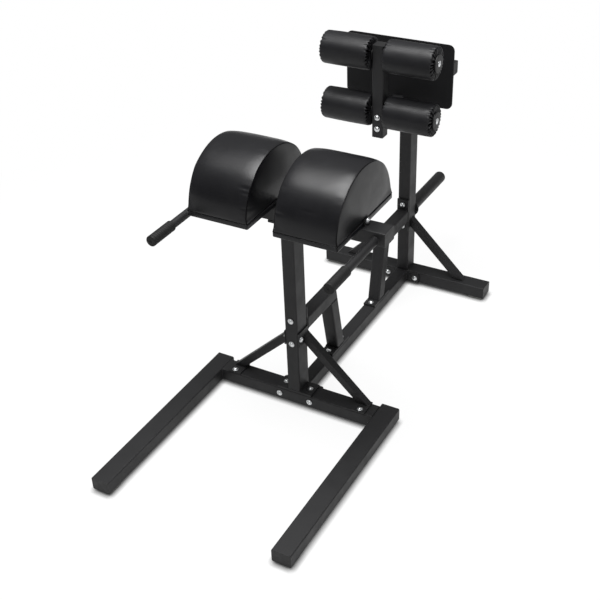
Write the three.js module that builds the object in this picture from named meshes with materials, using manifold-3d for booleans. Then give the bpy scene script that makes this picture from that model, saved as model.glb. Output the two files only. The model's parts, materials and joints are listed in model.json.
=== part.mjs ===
// Glute ham developer: a bolted frame of steel tube with two half-round pads, two handles,
// a storage peg, and a foot carriage that slides in the rear upright and carries four ankle rollers.
// Millimetres, +Z up, +X from the open front legs towards the foot plate, +Y to the user's left.
import * as THREE from "three";
import { mergeVertices } from "three/addons/utils/BufferGeometryUtils.js";
import Module from "manifold-3d";

const wasm = await Module();
wasm.setup();

// Main tube, used flat in the base and upright in the two columns
const tubeDepth = 70;
const tubeWidth = 50;
const tubeWall = 3;
const tubeCorner = 5;
const plateThickness = 8;
const ventRadius = 4;

// Clearances and overruns
const seatGap = 0.3;
const weldOverlap = 1;
const cutOverrun = 5;
const weldTolerance = 0.0001;

// Base: two long legs, a crossmember, a central beam and a rear cross foot
const footPadThickness = 8.5;
const footPadLength = 64;
const footPadWidth = 60;
const footPadInset = 6;
const footPadCorner = 8;
const baseSpread = 769;
const legReach = 739.5;
const legOverhang = 15;
const capThickness = 3;
const capPlugDepth = 14;
const capPlugWall = 3;
const columnSpacing = 951.5;
const rearFootSpan = 740;
const beamWidth = 51;
const beamHeight = 51;
const beamFlangeWidth = 160;
const beamFlangeHeight = 46;
const beamBoltInset = 17.5;
const beamBoltHeight = 33;

// Front upright and the crossbar that it carries
const crossbarTop = 812.5;
const uprightPlateWidth = 140;
const uprightFootBoltInset = 20;
const uprightTopBoltInset = 13.5;
const crossbarSpan = 717;

// Stub frames between the columns and the beam
const stubAxisHeight = 324.5;
const stubTube = 51;
const stubTopLength = 228;
const stubLegLeanShare = 0.2;
const stubFlangeHeight = 146;
const stubBoltInset = 24;
const stubFootAhead = 72;
const stubFootBehind = 65.5;
const stubFootBoltInset = 19;

// Diagonal braces from each column to its foot
const braceTube = 30;
const braceCorner = 3;
const braceTopHeight = 282.5;
const frontBraceReach = 229;
const rearBraceReach = 226;
const bracePlateThickness = 5;
const bracePlateRise = 41.5;
const bracePlateHeight = 56.5;
const braceFootThickness = 6;
const braceFootLength = 54;
const braceBoltBack = 21;
const braceUpperBoltRise = 12.5;
const braceLowerBoltShift = 3;

// Handles
const handleInset = 37;
const handleDrop = 7.5;
const handleRadius = 14.5;
const handleReach = 310.5;
const gripRadius = 19;
const gripLength = 114.5;
const gripWall = 3;

// Pads, each a half-round cushion on its board
const padLength = 396;
const padWidth = 231;
const padGap = 90.5;
const padHeight = 206.5;
const boardThickness = 17;
const boardCorner = 6;
const padCrown = 5;
const padSideBulge = 6;
const padSquareShare = 0.91;
const tabThickness = 4;
const tabWidth = 36;
const tabHeight = 24;
const tabBoltHeight = 13.5;

// Storage peg behind the rear upright
const pegDrop = 3;
const pegRadius = 25;
const pegWall = 3;
const pegLength = 331;
const pegCapLength = 15.5;
const pegFlangeGap = 1;
const pegFlangeThickness = 6;

// Sliding arm, its receiver and the pull pin
const armAxisHeight = 840;
const armWidth = 45;
const armHeight = 78;
const armOverhang = 185;
const armSlideClearance = 0.6;
const receiverWall = 4;
const receiverAhead = 36;
const receiverLength = 120;
const pinOffset = 10;
const pinHoleRadius = 6;
const pinHolePitch = 25;
const pinHoleCount = 6;
const pinHolesAhead = 1;
const pinTipRadius = 5;
const pinStemRadius = 3.5;
const pinCollarRadius = 7.5;
const pinCollarHeight = 4;
const pinTravel = 12;
const pinRunningGap = 0.4;
const springSpace = 14;
const barrelRadius = 13;
const barrelWall = 4;
const knobRadius = 16;
const knobHeight = 34;
const knobWaistShare = 0.62;

// Roller post and the rollers
const postDepth = 46;
const postDrop = 57.5;
const postRise = 40;
const postBoltSpacing = 46;
const lowerAxleRise = 41;
const axleSpacing = 216.5;
const axleRadius = 10;
const axleRunningGap = 0.3;
const rollerRadius = 61;
const rollerLength = 194;
const rollerGap = 1.5;
const rollerEndRadius = 13;
const rollerCrown = 1.5;
const bushWall = 3;
const bushFlangeInnerRadius = 24;
const bushFlangeInnerThickness = 3;
const discRadius = 33.5;
const discThickness = 5;
const discDish = 2;

// Foot plate and the bracket that carries it on the arm
const footSpace = 162;
const carriageBackTravel = 25;
const travelGap = 3;
const plateWidth = 437;
const plateHeight = 247;
const plateOverhang = 20;
const plateSheet = 6;
const plateCorner = 22;
const plateNotchMargin = 2;
const bracketDepth = 40;
const bracketHeight = 48;
const bracketStem = 111;
const bracketInset = 1;

// Dome-head bolts
const boltRadius = 5;
const boltHeadRadius = 8.5;
const boltHeadHeight = 5.5;
const washerRadius = 10.5;
const washerThickness = 1.6;
const nutRadius = 9;
const nutHeight = 8;
const boltHoleGap = 0.5;

// Facet counts
const cornerSteps = 2;
const innerCornerSteps = 1;
const roundFacets = 20;
const rollerFacets = 24;
const headFacets = 10;
const domeSteps = 2;
const nutFacets = 6;
const padArcSteps = 24;
const padBandSteps = 8;
const padSideSteps = 3;

// Places worked out from the sizes above
const baseBottom = footPadThickness;
const baseTop = baseBottom + tubeWidth;
const baseMiddle = (baseBottom + baseTop) / 2;
const columnHalf = tubeDepth / 2;
const rearColumn = columnSpacing;
const legAxis = (baseSpread - tubeDepth) / 2;
const beamTop = baseBottom + beamHeight;
const crossbarBottom = crossbarTop - tubeWidth;
const receiverHeight = armHeight + 2 * (armSlideClearance + receiverWall);
const receiverBottom = armAxisHeight - receiverHeight / 2;
const receiverTop = armAxisHeight + receiverHeight / 2;
const armTop = armAxisHeight + armHeight / 2;
const pegRear = rearColumn + columnHalf + pegLength;
const boardTop = crossbarTop + boardThickness;
const beamBoltSpacing = beamFlangeWidth - 2 * beamBoltInset;
const uprightFootBoltSpacing = uprightPlateWidth - 2 * uprightFootBoltInset;
const uprightTopBoltSpacing = uprightPlateWidth - 2 * uprightTopBoltInset;
const stubBoltSpacing = stubFlangeHeight - 2 * stubBoltInset;
const stubLegDepth = stubTube * Math.hypot(1, stubLegLeanShare);
const stubFootLength = stubFootAhead + stubFootBehind;
const handleAxis = crossbarSpan / 2 - handleInset;
const handleHeight = crossbarTop - tubeWidth / 2 - handleDrop;
const pegAxisHeight = stubAxisHeight - pegDrop;
const pegFlangeRadius = stubBoltSpacing / 2 - pegDrop - nutRadius - pegFlangeGap;
const armTail = rearColumn + armOverhang;
const receiverFront = rearColumn - receiverAhead;
const pinPosition = rearColumn + pinOffset;
const barrelHeight = pinCollarHeight + pinTravel + springSpace + barrelWall;
const plateFront = receiverFront - carriageBackTravel - travelGap - bracketDepth - plateSheet;
const plateBottom = armTop - plateOverhang;
const plateTop = plateBottom + plateHeight;
const postPosition = plateFront - footSpace;
const postWidth = armWidth;
const postBottom = armAxisHeight - postDrop;
const lowerAxleHeight = armAxisHeight + lowerAxleRise;
const upperAxleHeight = lowerAxleHeight + axleSpacing;
const postTop = upperAxleHeight + postRise;
const bushInner = postWidth / 2 + rollerGap;
const rollerInner = bushInner + bushFlangeInnerThickness + rollerGap;
const rollerOuter = rollerInner + rollerLength;
const bracketAxisHeight = armTop + bracketStem + bracketHeight / 2;

// Materials
const powderCoat = new THREE.MeshStandardMaterial({ color: 0x232324, roughness: 0.5, metalness: 0.2 });
const leatherette = new THREE.MeshStandardMaterial({ color: 0x1b1b1d, roughness: 0.42, metalness: 0 });
const rollerVinyl = new THREE.MeshStandardMaterial({ color: 0x202022, roughness: 0.4, metalness: 0 });
const rubber = new THREE.MeshStandardMaterial({ color: 0x1a1a1a, roughness: 0.8, metalness: 0 });
const paleRubber = new THREE.MeshStandardMaterial({ color: 0x9a9a98, roughness: 0.85, metalness: 0 });
const plastic = new THREE.MeshStandardMaterial({ color: 0x1d1d1e, roughness: 0.55, metalness: 0 });
const zinc = new THREE.MeshStandardMaterial({ color: 0xc4c6c8, roughness: 0.3, metalness: 0.9 });
const board = new THREE.MeshStandardMaterial({ color: 0x161616, roughness: 0.9, metalness: 0 });

const machine = new THREE.Group();

function put(name, geometry, material, x = 0, y = 0, z = 0) {
  geometry.computeVertexNormals();
  const mesh = new THREE.Mesh(geometry, material.clone());
  mesh.name = name;
  mesh.position.set(x, y, z);
  machine.add(mesh);
  return mesh;
}

// Closed solids: joining and cutting
function signedVolume(positions, triangles) {
  const a = new THREE.Vector3();
  const b = new THREE.Vector3();
  const c = new THREE.Vector3();
  let total = 0;
  for (let i = 0; i < triangles.length; i += 3) {
    a.fromArray(positions, 3 * triangles[i]);
    b.fromArray(positions, 3 * triangles[i + 1]);
    c.fromArray(positions, 3 * triangles[i + 2]);
    total += a.dot(b.cross(c));
  }
  return total;
}

function toSolid(geometry) {
  const bare = new THREE.BufferGeometry();
  bare.setAttribute("position", geometry.getAttribute("position").clone());
  if (geometry.index) bare.setIndex(geometry.index.clone());
  const merged = mergeVertices(bare, weldTolerance);
  const positions = merged.getAttribute("position").array;
  const source = merged.index.array;
  const triangles = [];
  for (let i = 0; i < source.length; i += 3) {
    const [a, b, c] = [source[i], source[i + 1], source[i + 2]];
    if (a !== b && b !== c && c !== a) triangles.push(a, b, c);
  }
  if (signedVolume(positions, triangles) < 0) triangles.reverse();
  const vertProperties = new Float32Array(positions);
  const triVerts = new Uint32Array(triangles);
  return new wasm.Manifold(new wasm.Mesh({ numProp: 3, vertProperties, triVerts }));
}

function toGeometry(solid) {
  const mesh = solid.getMesh();
  const geometry = new THREE.BufferGeometry();
  geometry.setAttribute("position", new THREE.BufferAttribute(new Float32Array(mesh.vertProperties), 3));
  geometry.setIndex(new THREE.BufferAttribute(new Uint32Array(mesh.triVerts), 1));
  return geometry;
}

function join(first, ...others) {
  return toGeometry(others.reduce((whole, piece) => whole.add(toSolid(piece)), toSolid(first)));
}

function cut(first, ...tools) {
  return toGeometry(tools.reduce((whole, tool) => whole.subtract(toSolid(tool)), toSolid(first)));
}

function moved(geometry, x, y, z) {
  return geometry.clone().translate(x, y, z);
}

// Bars and tubes of a rounded rectangular section, given by their size along x, y and z
const axisX = new THREE.Vector3(1, 0, 0);
const axisY = new THREE.Vector3(0, 1, 0);
const axisZ = new THREE.Vector3(0, 0, 1);
const barFrames = {
  x: new THREE.Matrix4().makeBasis(axisY, axisZ, axisX),
  y: new THREE.Matrix4().makeBasis(axisZ, axisX, axisY),
  z: new THREE.Matrix4().makeBasis(axisX, axisY, axisZ),
};

function roundedRectangle(width, height, radius) {
  const x = width / 2 - radius;
  const y = height / 2 - radius;
  const shape = new THREE.Shape();
  shape.absarc(x, y, radius, 0, Math.PI / 2, false);
  shape.absarc(-x, y, radius, Math.PI / 2, Math.PI, false);
  shape.absarc(-x, -y, radius, Math.PI, 1.5 * Math.PI, false);
  shape.absarc(x, -y, radius, 1.5 * Math.PI, 2 * Math.PI, false);
  shape.closePath();
  return shape;
}

function bar(axis, sizeX, sizeY, sizeZ, radius, steps = cornerSteps) {
  const sections = { x: [sizeY, sizeZ, sizeX], y: [sizeZ, sizeX, sizeY], z: [sizeX, sizeY, sizeZ] };
  const [across, up, along] = sections[axis];
  const options = { depth: along, bevelEnabled: false, curveSegments: steps };
  const geometry = new THREE.ExtrudeGeometry(roundedRectangle(across, up, radius), options);
  geometry.translate(0, 0, -along / 2);
  return geometry.applyMatrix4(barFrames[axis]);
}

function tube(axis, sizeX, sizeY, sizeZ, wall, closedLow = false, closedHigh = false) {
  const low = closedLow ? wall : -cutOverrun;
  const high = closedHigh ? wall : -cutOverrun;
  const size = { x: sizeX - 2 * wall, y: sizeY - 2 * wall, z: sizeZ - 2 * wall };
  size[axis] += 2 * wall - low - high;
  const offset = new THREE.Vector3();
  offset[axis] = (low - high) / 2;
  const bore = bar(axis, size.x, size.y, size.z, tubeCorner - wall, innerCornerSteps);
  return cut(bar(axis, sizeX, sizeY, sizeZ, tubeCorner), moved(bore, offset.x, offset.y, offset.z));
}

function plate(sizeX, sizeY, sizeZ) {
  return new THREE.BoxGeometry(sizeX, sizeY, sizeZ);
}

// Round pieces turned about an axis from [radius, place along the axis] points
function turned(axis, points, facets) {
  const profile = points.map(([radius, along]) => new THREE.Vector2(radius, along));
  const geometry = new THREE.LatheGeometry(profile, facets);
  if (axis === "x") geometry.rotateZ(-Math.PI / 2);
  if (axis === "z") geometry.rotateX(Math.PI / 2);
  return join(geometry);
}

function rod(axis, radius, from, to, facets = roundFacets) {
  return turned(axis, [[0, from], [radius, from], [radius, to], [0, to]], facets);
}

// A bar with rounded long edges, from its side outline in a plane: points are [u, v] pairs
function outlineBar(points, width, corner) {
  const shape = new THREE.Shape(points.map(([u, v]) => new THREE.Vector2(u, v)));
  const options = {
    depth: width - 2 * corner,
    bevelEnabled: true,
    bevelThickness: corner,
    bevelSize: corner,
    bevelOffset: -corner,
    bevelSegments: cornerSteps,
  };
  return new THREE.ExtrudeGeometry(shape, options).translate(0, 0, corner - width / 2);
}

// Dome-head bolts: the head stands on a face, along +axis or -axis
function domeHead(axis, side = 1) {
  const points = [[0, 0], [washerRadius, 0], [washerRadius, washerThickness]];
  for (let i = 0; i <= domeSteps; i += 1) {
    const angle = (i / domeSteps) * (Math.PI / 2);
    points.push([boltHeadRadius * Math.cos(angle), washerThickness + boltHeadHeight * Math.sin(angle)]);
  }
  return turned(axis, points.map(([radius, along]) => [Math.max(radius, 0), side * along]), headFacets);
}

function throughBolt(length) {
  const shank = rod("x", boltRadius, -weldOverlap, length + nutHeight - weldOverlap, headFacets);
  const nut = rod("x", nutRadius, length, length + nutHeight, nutFacets);
  return join(domeHead("x", -1), shank, nut);
}

function boltHole(axis, from, to) {
  return rod(axis, boltRadius + boltHoleGap, from, to, headFacets);
}

// Plastic end cap: a plate that closes a tube end and a plug that fills its mouth
function endCap(axis, side, sizeX, sizeY, sizeZ) {
  const size = { x: sizeX, y: sizeY, z: sizeZ };
  size[axis] = capThickness;
  const face = bar(axis, size.x, size.y, size.z, tubeCorner);
  const plug = { x: sizeX, y: sizeY, z: sizeZ };
  for (const key of ["x", "y", "z"]) plug[key] -= 2 * (tubeWall + seatGap);
  plug[axis] = capPlugDepth;
  const hollow = { ...plug };
  for (const key of ["x", "y", "z"]) hollow[key] -= 2 * capPlugWall;
  hollow[axis] = capPlugDepth;
  const radius = tubeCorner - tubeWall;
  const solidPlug = bar(axis, plug.x, plug.y, plug.z, radius, innerCornerSteps);
  const mouth = bar(axis, hollow.x, hollow.y, hollow.z, radius, innerCornerSteps);
  const offset = new THREE.Vector3();
  offset[axis] = -side * ((capThickness + capPlugDepth) / 2 - weldOverlap);
  const plugged = join(face, solidPlug.translate(offset.x, offset.y, offset.z));
  offset[axis] -= side * capThickness;
  return cut(plugged, mouth.translate(offset.x, offset.y, offset.z));
}

// Base legs with their caps and rubber feet
function buildLegs() {
  const length = legReach + columnHalf + legOverhang - capThickness;
  const middle = columnHalf + legOverhang - length / 2;
  for (const [name, side] of [["left", 1], ["right", -1]]) {
    const leg = tube("x", length, tubeDepth, tubeWidth, tubeWall, false, true);
    put(`front_leg_${name}`, leg, powderCoat, middle, side * legAxis, baseMiddle);
    const cap = endCap("x", -1, length, tubeDepth, tubeWidth);
    put(`leg_cap_${name}`, cap, plastic, -legReach + capThickness / 2, side * legAxis, baseMiddle);
    const foot = bar("z", footPadLength, footPadWidth, footPadThickness, footPadCorner);
    const footX = -legReach + footPadInset + footPadLength / 2;
    put(`rubber_foot_front_${name}`, foot, paleRubber, footX, side * legAxis, footPadThickness / 2);
  }
}

function buildCrossmember() {
  const span = 2 * legAxis - tubeDepth;
  let body = tube("y", tubeDepth, span, tubeWidth, tubeWall);
  for (const side of [1, -1]) {
    const head = domeHead("x", -1);
    body = join(body, moved(head, -columnHalf, side * beamBoltSpacing / 2, beamBoltHeight - baseMiddle));
  }
  put("front_crossmember", body, powderCoat, 0, 0, baseMiddle);
}

function buildBeam() {
  const front = columnHalf;
  const rear = rearColumn - columnHalf;
  const middle = (front + rear) / 2;
  const length = rear - front;
  const flange = plate(plateThickness, beamFlangeWidth, beamFlangeHeight);
  const flangeX = (length - plateThickness) / 2;
  const flangeZ = beamBoltHeight - baseBottom - beamHeight / 2;
  const inside = length - 2 * plateThickness + weldOverlap;
  const tubeBody = tube("x", inside, beamWidth, beamHeight, tubeWall, true, true);
  const vent = rod("z", ventRadius, -beamHeight, 0);
  let body = join(tubeBody, moved(flange, flangeX, 0, flangeZ), moved(flange, -flangeX, 0, flangeZ));
  body = cut(body, moved(vent, flangeX / 2, 0, 0), moved(vent, -flangeX / 2, 0, 0));
  const headX = -(flangeX - plateThickness / 2);
  for (const side of [1, -1]) {
    body = join(body, moved(domeHead("x", -1), -headX, side * beamBoltSpacing / 2, flangeZ));
  }
  put("base_beam", body, powderCoat, middle, 0, baseBottom + beamHeight / 2);
}

function buildRearFoot() {
  const length = rearFootSpan - 2 * capThickness;
  const foot = tube("y", tubeDepth, length, tubeWidth, tubeWall);
  put("rear_cross_foot", foot, powderCoat, rearColumn, 0, baseMiddle);
  for (const [name, side] of [["left", 1], ["right", -1]]) {
    const cap = endCap("y", side, tubeDepth, length, tubeWidth);
    const capY = side * (rearFootSpan - capThickness) / 2;
    put(`rear_foot_cap_${name}`, cap, plastic, rearColumn, capY, baseMiddle);
    const pad = bar("z", footPadWidth, footPadLength, footPadThickness, footPadCorner);
    const padY = rearFootSpan / 2 - footPadInset - footPadLength / 2;
    put(`rubber_foot_rear_${name}`, pad, paleRubber, rearColumn, side * padY, footPadThickness / 2);
  }
}

// Columns
function buildFrontUpright() {
  const low = baseTop + plateThickness;
  const high = crossbarBottom - plateThickness;
  const middle = (low + high) / 2;
  const flange = plate(tubeDepth, uprightPlateWidth, plateThickness);
  let body = join(
    tube("z", tubeDepth, tubeWidth, high - low + weldOverlap, tubeWall, true, true),
    moved(flange, 0, 0, low - plateThickness / 2 - middle),
    moved(flange, 0, 0, high + plateThickness / 2 - middle),
  );
  for (const side of [1, -1]) {
    const hole = boltHole("x", -tubeDepth, tubeDepth);
    body = cut(body, moved(hole, 0, 0, stubAxisHeight + side * stubBoltSpacing / 2 - middle));
    body = join(body, moved(domeHead("z"), 0, side * uprightFootBoltSpacing / 2, low - middle));
    body = join(body, moved(domeHead("z", -1), 0, side * uprightTopBoltSpacing / 2, high - middle));
  }
  put("front_upright", body, powderCoat, 0, 0, middle);
}

function buildRearUpright() {
  const height = receiverBottom - baseTop;
  const middle = baseTop + height / 2;
  let body = tube("z", tubeDepth, tubeWidth, height, tubeWall);
  for (const side of [1, -1]) {
    const hole = boltHole("x", -tubeDepth, tubeDepth);
    body = cut(body, moved(hole, 0, 0, stubAxisHeight + side * stubBoltSpacing / 2 - middle));
  }
  put("rear_upright", body, powderCoat, rearColumn, 0, middle);
}

// Bolts through each column and the flange of its stub, heads towards the user
function buildStubBolts() {
  const reach = tubeDepth + plateThickness + 2 * seatGap;
  const frontHead = -columnHalf - seatGap;
  const rearHead = rearColumn - columnHalf - plateThickness - seatGap;
  for (const [prefix, head] of [["front", frontHead], ["rear", rearHead]]) {
    for (const [name, side] of [["upper", 1], ["lower", -1]]) {
      const boltZ = stubAxisHeight + side * stubBoltSpacing / 2;
      put(`${prefix}_stub_bolt_${name}`, throughBolt(reach), zinc, head, 0, boltZ);
    }
  }
}

// Stub frames: a flanged top tube and a leaning leg on the beam; the rear one mirrors the front one
function stubLegX(height) {
  const topEnd = columnHalf + stubTopLength;
  return topEnd + stubLegLeanShare * (stubAxisHeight + stubTube / 2 - height);
}

function buildStub(prefix, place) {
  const top = stubAxisHeight + stubTube / 2;
  const bottom = stubAxisHeight - stubTube / 2;
  const footTop = beamTop + plateThickness;
  const inner = columnHalf + plateThickness - weldOverlap;
  const placed = (points) => points.map(([x, z]) => [place(x), z]);
  const sidePoints = [[inner, bottom], [stubLegX(bottom), bottom], [stubLegX(top), top], [inner, top]];
  const stubBody = outlineBar(placed(sidePoints), stubTube, tubeCorner).rotateX(Math.PI / 2);
  const flange = plate(plateThickness, tubeWidth, stubFlangeHeight);
  let stub = join(stubBody, moved(flange, place(columnHalf + plateThickness / 2), 0, stubAxisHeight));
  for (const side of [1, -1]) {
    const hole = boltHole("x", -plateThickness, plateThickness);
    const boltZ = stubAxisHeight + side * stubBoltSpacing / 2;
    stub = cut(stub, moved(hole, place(columnHalf + plateThickness / 2), 0, boltZ));
  }
  put(`${prefix}_stub_tube`, stub, powderCoat);

  const legPoints = [
    [stubLegX(bottom) - stubLegDepth, bottom],
    [stubLegX(bottom), bottom],
    [stubLegX(footTop - weldOverlap), footTop - weldOverlap],
    [stubLegX(footTop - weldOverlap) - stubLegDepth, footTop - weldOverlap],
  ];
  const legBody = outlineBar(placed(legPoints), stubTube, tubeCorner).rotateX(Math.PI / 2);
  const footMiddle = stubLegX(footTop) - stubLegDepth / 2;
  const foot = plate(stubFootLength, beamWidth, plateThickness);
  const footShift = (stubFootBehind - stubFootAhead) / 2;
  let leg = join(legBody, moved(foot, place(footMiddle + footShift), 0, beamTop + plateThickness / 2));
  for (const offset of [stubFootBoltInset - stubFootAhead, stubFootBehind - stubFootBoltInset]) {
    leg = join(leg, moved(domeHead("z"), place(footMiddle + offset), 0, footTop));
  }
  put(`${prefix}_stub_leg`, leg, powderCoat);
}

// Braces: square tube at 45 degrees; the front ones are bolted through end plates, the rear ones welded
function buildBrace(prefix, name, columnX, side, bolted) {
  const inner = tubeWidth / 2 + (bolted ? bracePlateThickness : 0);
  const floor = baseTop + (bolted ? braceFootThickness : 0);
  const half = braceTube / Math.sqrt(2);
  const overlap = bolted ? weldOverlap : 0;
  const reach = bolted ? frontBraceReach : rearBraceReach;
  const outer = inner + reach;
  const slope = (braceTopHeight - floor) / reach;
  const points = [
    [inner - overlap, braceTopHeight + slope * overlap - half],
    [inner - overlap, braceTopHeight + slope * overlap + half],
    [outer + half + overlap / slope, floor - overlap],
    [outer - half + overlap / slope, floor - overlap],
  ];
  const turn = new THREE.Matrix4().makeBasis(axisY, axisZ, axisX);
  let body = outlineBar(points, braceTube, braceCorner).applyMatrix4(turn);
  if (bolted) {
    body.translate((tubeDepth - braceTube) / 2, 0, 0);
    const foot = plate(tubeDepth, braceFootLength, braceFootThickness);
    body = join(body, moved(foot, 0, outer, baseTop + braceFootThickness / 2));
    const ear = plate(tubeDepth, bracePlateThickness, bracePlateHeight);
    const earY = tubeWidth / 2 + bracePlateThickness / 2;
    body = join(body, moved(ear, 0, earY, braceTopHeight + bracePlateRise - bracePlateHeight / 2));
    body = join(body, moved(domeHead("y"), -braceBoltBack, inner, braceTopHeight + braceUpperBoltRise));
    body = join(body, moved(domeHead("z"), -braceBoltBack, outer + braceLowerBoltShift, floor));
  }
  if (side < 0) body = mirroredY(body);
  put(`${prefix}_brace_${name}`, body, powderCoat, columnX, 0, 0);
}

function mirroredY(geometry) {
  const copy = geometry.clone();
  copy.applyMatrix4(new THREE.Matrix4().makeScale(1, -1, 1));
  return join(copy);
}

// Crossbar with its caps, and the tabs that hold the pad boards
function buildCrossbar() {
  const length = crossbarSpan - 2 * capThickness;
  const middle = crossbarTop - tubeWidth / 2;
  let body = tube("y", tubeDepth, length, tubeWidth, tubeWall);
  const tabY = padGap / 2 + padWidth + seatGap + tabThickness / 2;
  for (const side of [1, -1]) {
    const tab = plate(tabWidth, tabThickness, tabHeight + weldOverlap);
    body = join(body, moved(tab, 0, side * tabY, crossbarTop + (tabHeight - weldOverlap) / 2 - middle));
    const headY = side * (tabY + tabThickness / 2);
    body = join(body, moved(domeHead("y", side), 0, headY, crossbarTop + tabBoltHeight - middle));
  }
  put("pad_crossbar", body, powderCoat, 0, 0, middle);
  for (const [name, side] of [["left", 1], ["right", -1]]) {
    const cap = endCap("y", side, tubeDepth, length, tubeWidth);
    const capY = side * (crossbarSpan - capThickness) / 2;
    put(`crossbar_cap_${name}`, cap, plastic, 0, capY, middle);
  }
}

function buildHandles() {
  const shaftEnd = handleReach - gripWall - seatGap;
  const bore = handleRadius + seatGap;
  for (const [name, side] of [["left", 1], ["right", -1]]) {
    const y = side * handleAxis;
    const shaft = rod("x", handleRadius, -shaftEnd, 0);
    put(`handle_${name}`, shaft, powderCoat, -columnHalf, y, handleHeight);
    const edge = gripWall / 2;
    const profile = [
      [0, -handleReach],
      [gripRadius - edge, -handleReach],
      [gripRadius, -handleReach + edge],
      [gripRadius, -handleReach + gripLength - edge],
      [gripRadius - edge, -handleReach + gripLength],
      [bore, -handleReach + gripLength],
      [bore, -handleReach + gripWall],
      [0, -handleReach + gripWall],
    ];
    put(`grip_${name}`, turned("x", profile, roundFacets), rubber, -columnHalf, y, handleHeight);
  }
}

// Pads: half-round sections lofted across the width, crowned in the middle and drawn in at the sides
function padSection(scale, y, height) {
  const loop = [];
  for (let i = 0; i <= padArcSteps; i += 1) {
    const angle = Math.PI * (i / padArcSteps);
    const x = -Math.cos(angle) * padLength / 2;
    const z = Math.pow(Math.sin(angle), padSquareShare) * height;
    loop.push([x * scale, y, z * scale]);
  }
  return loop;
}

function buildPadForm() {
  const height = padHeight - boardThickness - seatGap;
  const half = padWidth / 2;
  const sections = [];
  for (let i = -padSideSteps; i <= padBandSteps + padSideSteps; i += 1) {
    if (i < 0 || i > padBandSteps) {
      const step = i < 0 ? -i : i - padBandSteps;
      const share = 1 - step / (padSideSteps + 1);
      const y = half - padSideBulge * share * share;
      sections.push(padSection(share, i < 0 ? -y : y, height));
    } else {
      const across = (2 * i) / padBandSteps - 1;
      const crown = padCrown * Math.pow(Math.abs(across), 4);
      const y = across * (half - padSideBulge);
      sections.push(padSection(1 - (2 * crown) / padLength, y, height));
    }
  }
  const positions = [];
  for (const loop of sections) positions.push(...loop.flat());
  const count = padArcSteps + 1;
  const index = [];
  for (let s = 0; s + 1 < sections.length; s += 1) {
    for (let i = 0; i < count; i += 1) {
      const a = s * count + i;
      const b = s * count + ((i + 1) % count);
      index.push(a, b, b + count, a, b + count, a + count);
    }
  }
  for (const [section, flip] of [[0, true], [sections.length - 1, false]]) {
    const centre = positions.length / 3;
    positions.push(0, sections[section][0][1], 0);
    for (let i = 0; i < count - 1; i += 1) {
      const a = section * count + i;
      if (flip) index.push(centre, a + 1, a);
      else index.push(centre, a, a + 1);
    }
    const last = section * count + count - 1;
    const first = section * count;
    if (flip) index.push(centre, first, last);
    else index.push(centre, last, first);
  }
  const geometry = new THREE.BufferGeometry();
  geometry.setAttribute("position", new THREE.Float32BufferAttribute(positions, 3));
  geometry.setIndex(index);
  return join(geometry);
}

function buildPads() {
  const y = (padGap + padWidth) / 2;
  for (const [name, side] of [["left", 1], ["right", -1]]) {
    const base = bar("z", padLength, padWidth, boardThickness, boardCorner);
    put(`pad_board_${name}`, base, board, 0, side * y, crossbarTop + boardThickness / 2);
    put(`pad_${name}`, buildPadForm(), leatherette, 0, side * y, boardTop + seatGap);
  }
}

// Storage peg: a round tube on a disc, closed by a domed cap
function buildPeg() {
  const start = pegFlangeThickness;
  const end = pegLength - pegCapLength;
  const shell = [
    [0, 0],
    [pegFlangeRadius, 0],
    [pegFlangeRadius, start],
    [pegRadius, start],
    [pegRadius, end],
    [pegRadius - pegWall, end],
    [pegRadius - pegWall, start],
    [0, start],
  ];
  const base = rearColumn + columnHalf;
  put("storage_peg", turned("x", shell, roundFacets), powderCoat, base, 0, pegAxisHeight);
  const plug = pegRadius - pegWall - seatGap;
  const seat = end + seatGap;
  const dome = [[0, end - capPlugDepth], [plug, end - capPlugDepth], [plug, seat], [pegRadius, seat]];
  for (let i = 0; i <= domeSteps * 2; i += 1) {
    const angle = (i / (domeSteps * 2)) * (Math.PI / 2);
    const along = seat + (pegCapLength - seatGap) * Math.sin(angle);
    dome.push([Math.max(pegRadius * Math.cos(angle), 0), along]);
  }
  put("storage_peg_cap", turned("x", dome, roundFacets), plastic, base, 0, pegAxisHeight);
}

// Receiver on the rear upright, with the barrel of the pull pin
function buildReceiver() {
  const width = armWidth + 2 * (armSlideClearance + receiverWall);
  const middle = receiverFront + receiverLength / 2;
  const pinX = pinPosition - middle;
  const outer = bar("x", receiverLength, width, receiverHeight, tubeCorner);
  const boreWidth = width - 2 * receiverWall;
  const boreHeight = receiverHeight - 2 * receiverWall;
  const bore = bar("x", receiverLength + 2 * cutOverrun, boreWidth, boreHeight, tubeCorner);
  const top = receiverHeight / 2;
  const barrel = rod("z", barrelRadius, top - weldOverlap, top + barrelHeight);
  const guide = rod("z", pinTipRadius + pinRunningGap, top - receiverWall - cutOverrun, top + cutOverrun);
  const chamber = rod("z", pinCollarRadius + pinRunningGap, top, top + barrelHeight - barrelWall);
  const neck = rod("z", pinStemRadius + pinRunningGap, top, top + barrelHeight + cutOverrun);
  const passages = [guide, chamber, neck].map((tool) => moved(tool, pinX, 0, 0));
  const body = cut(join(outer, moved(barrel, pinX, 0, 0)), bore, ...passages);
  put("arm_receiver", body, powderCoat, middle, 0, armAxisHeight);
}

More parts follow.
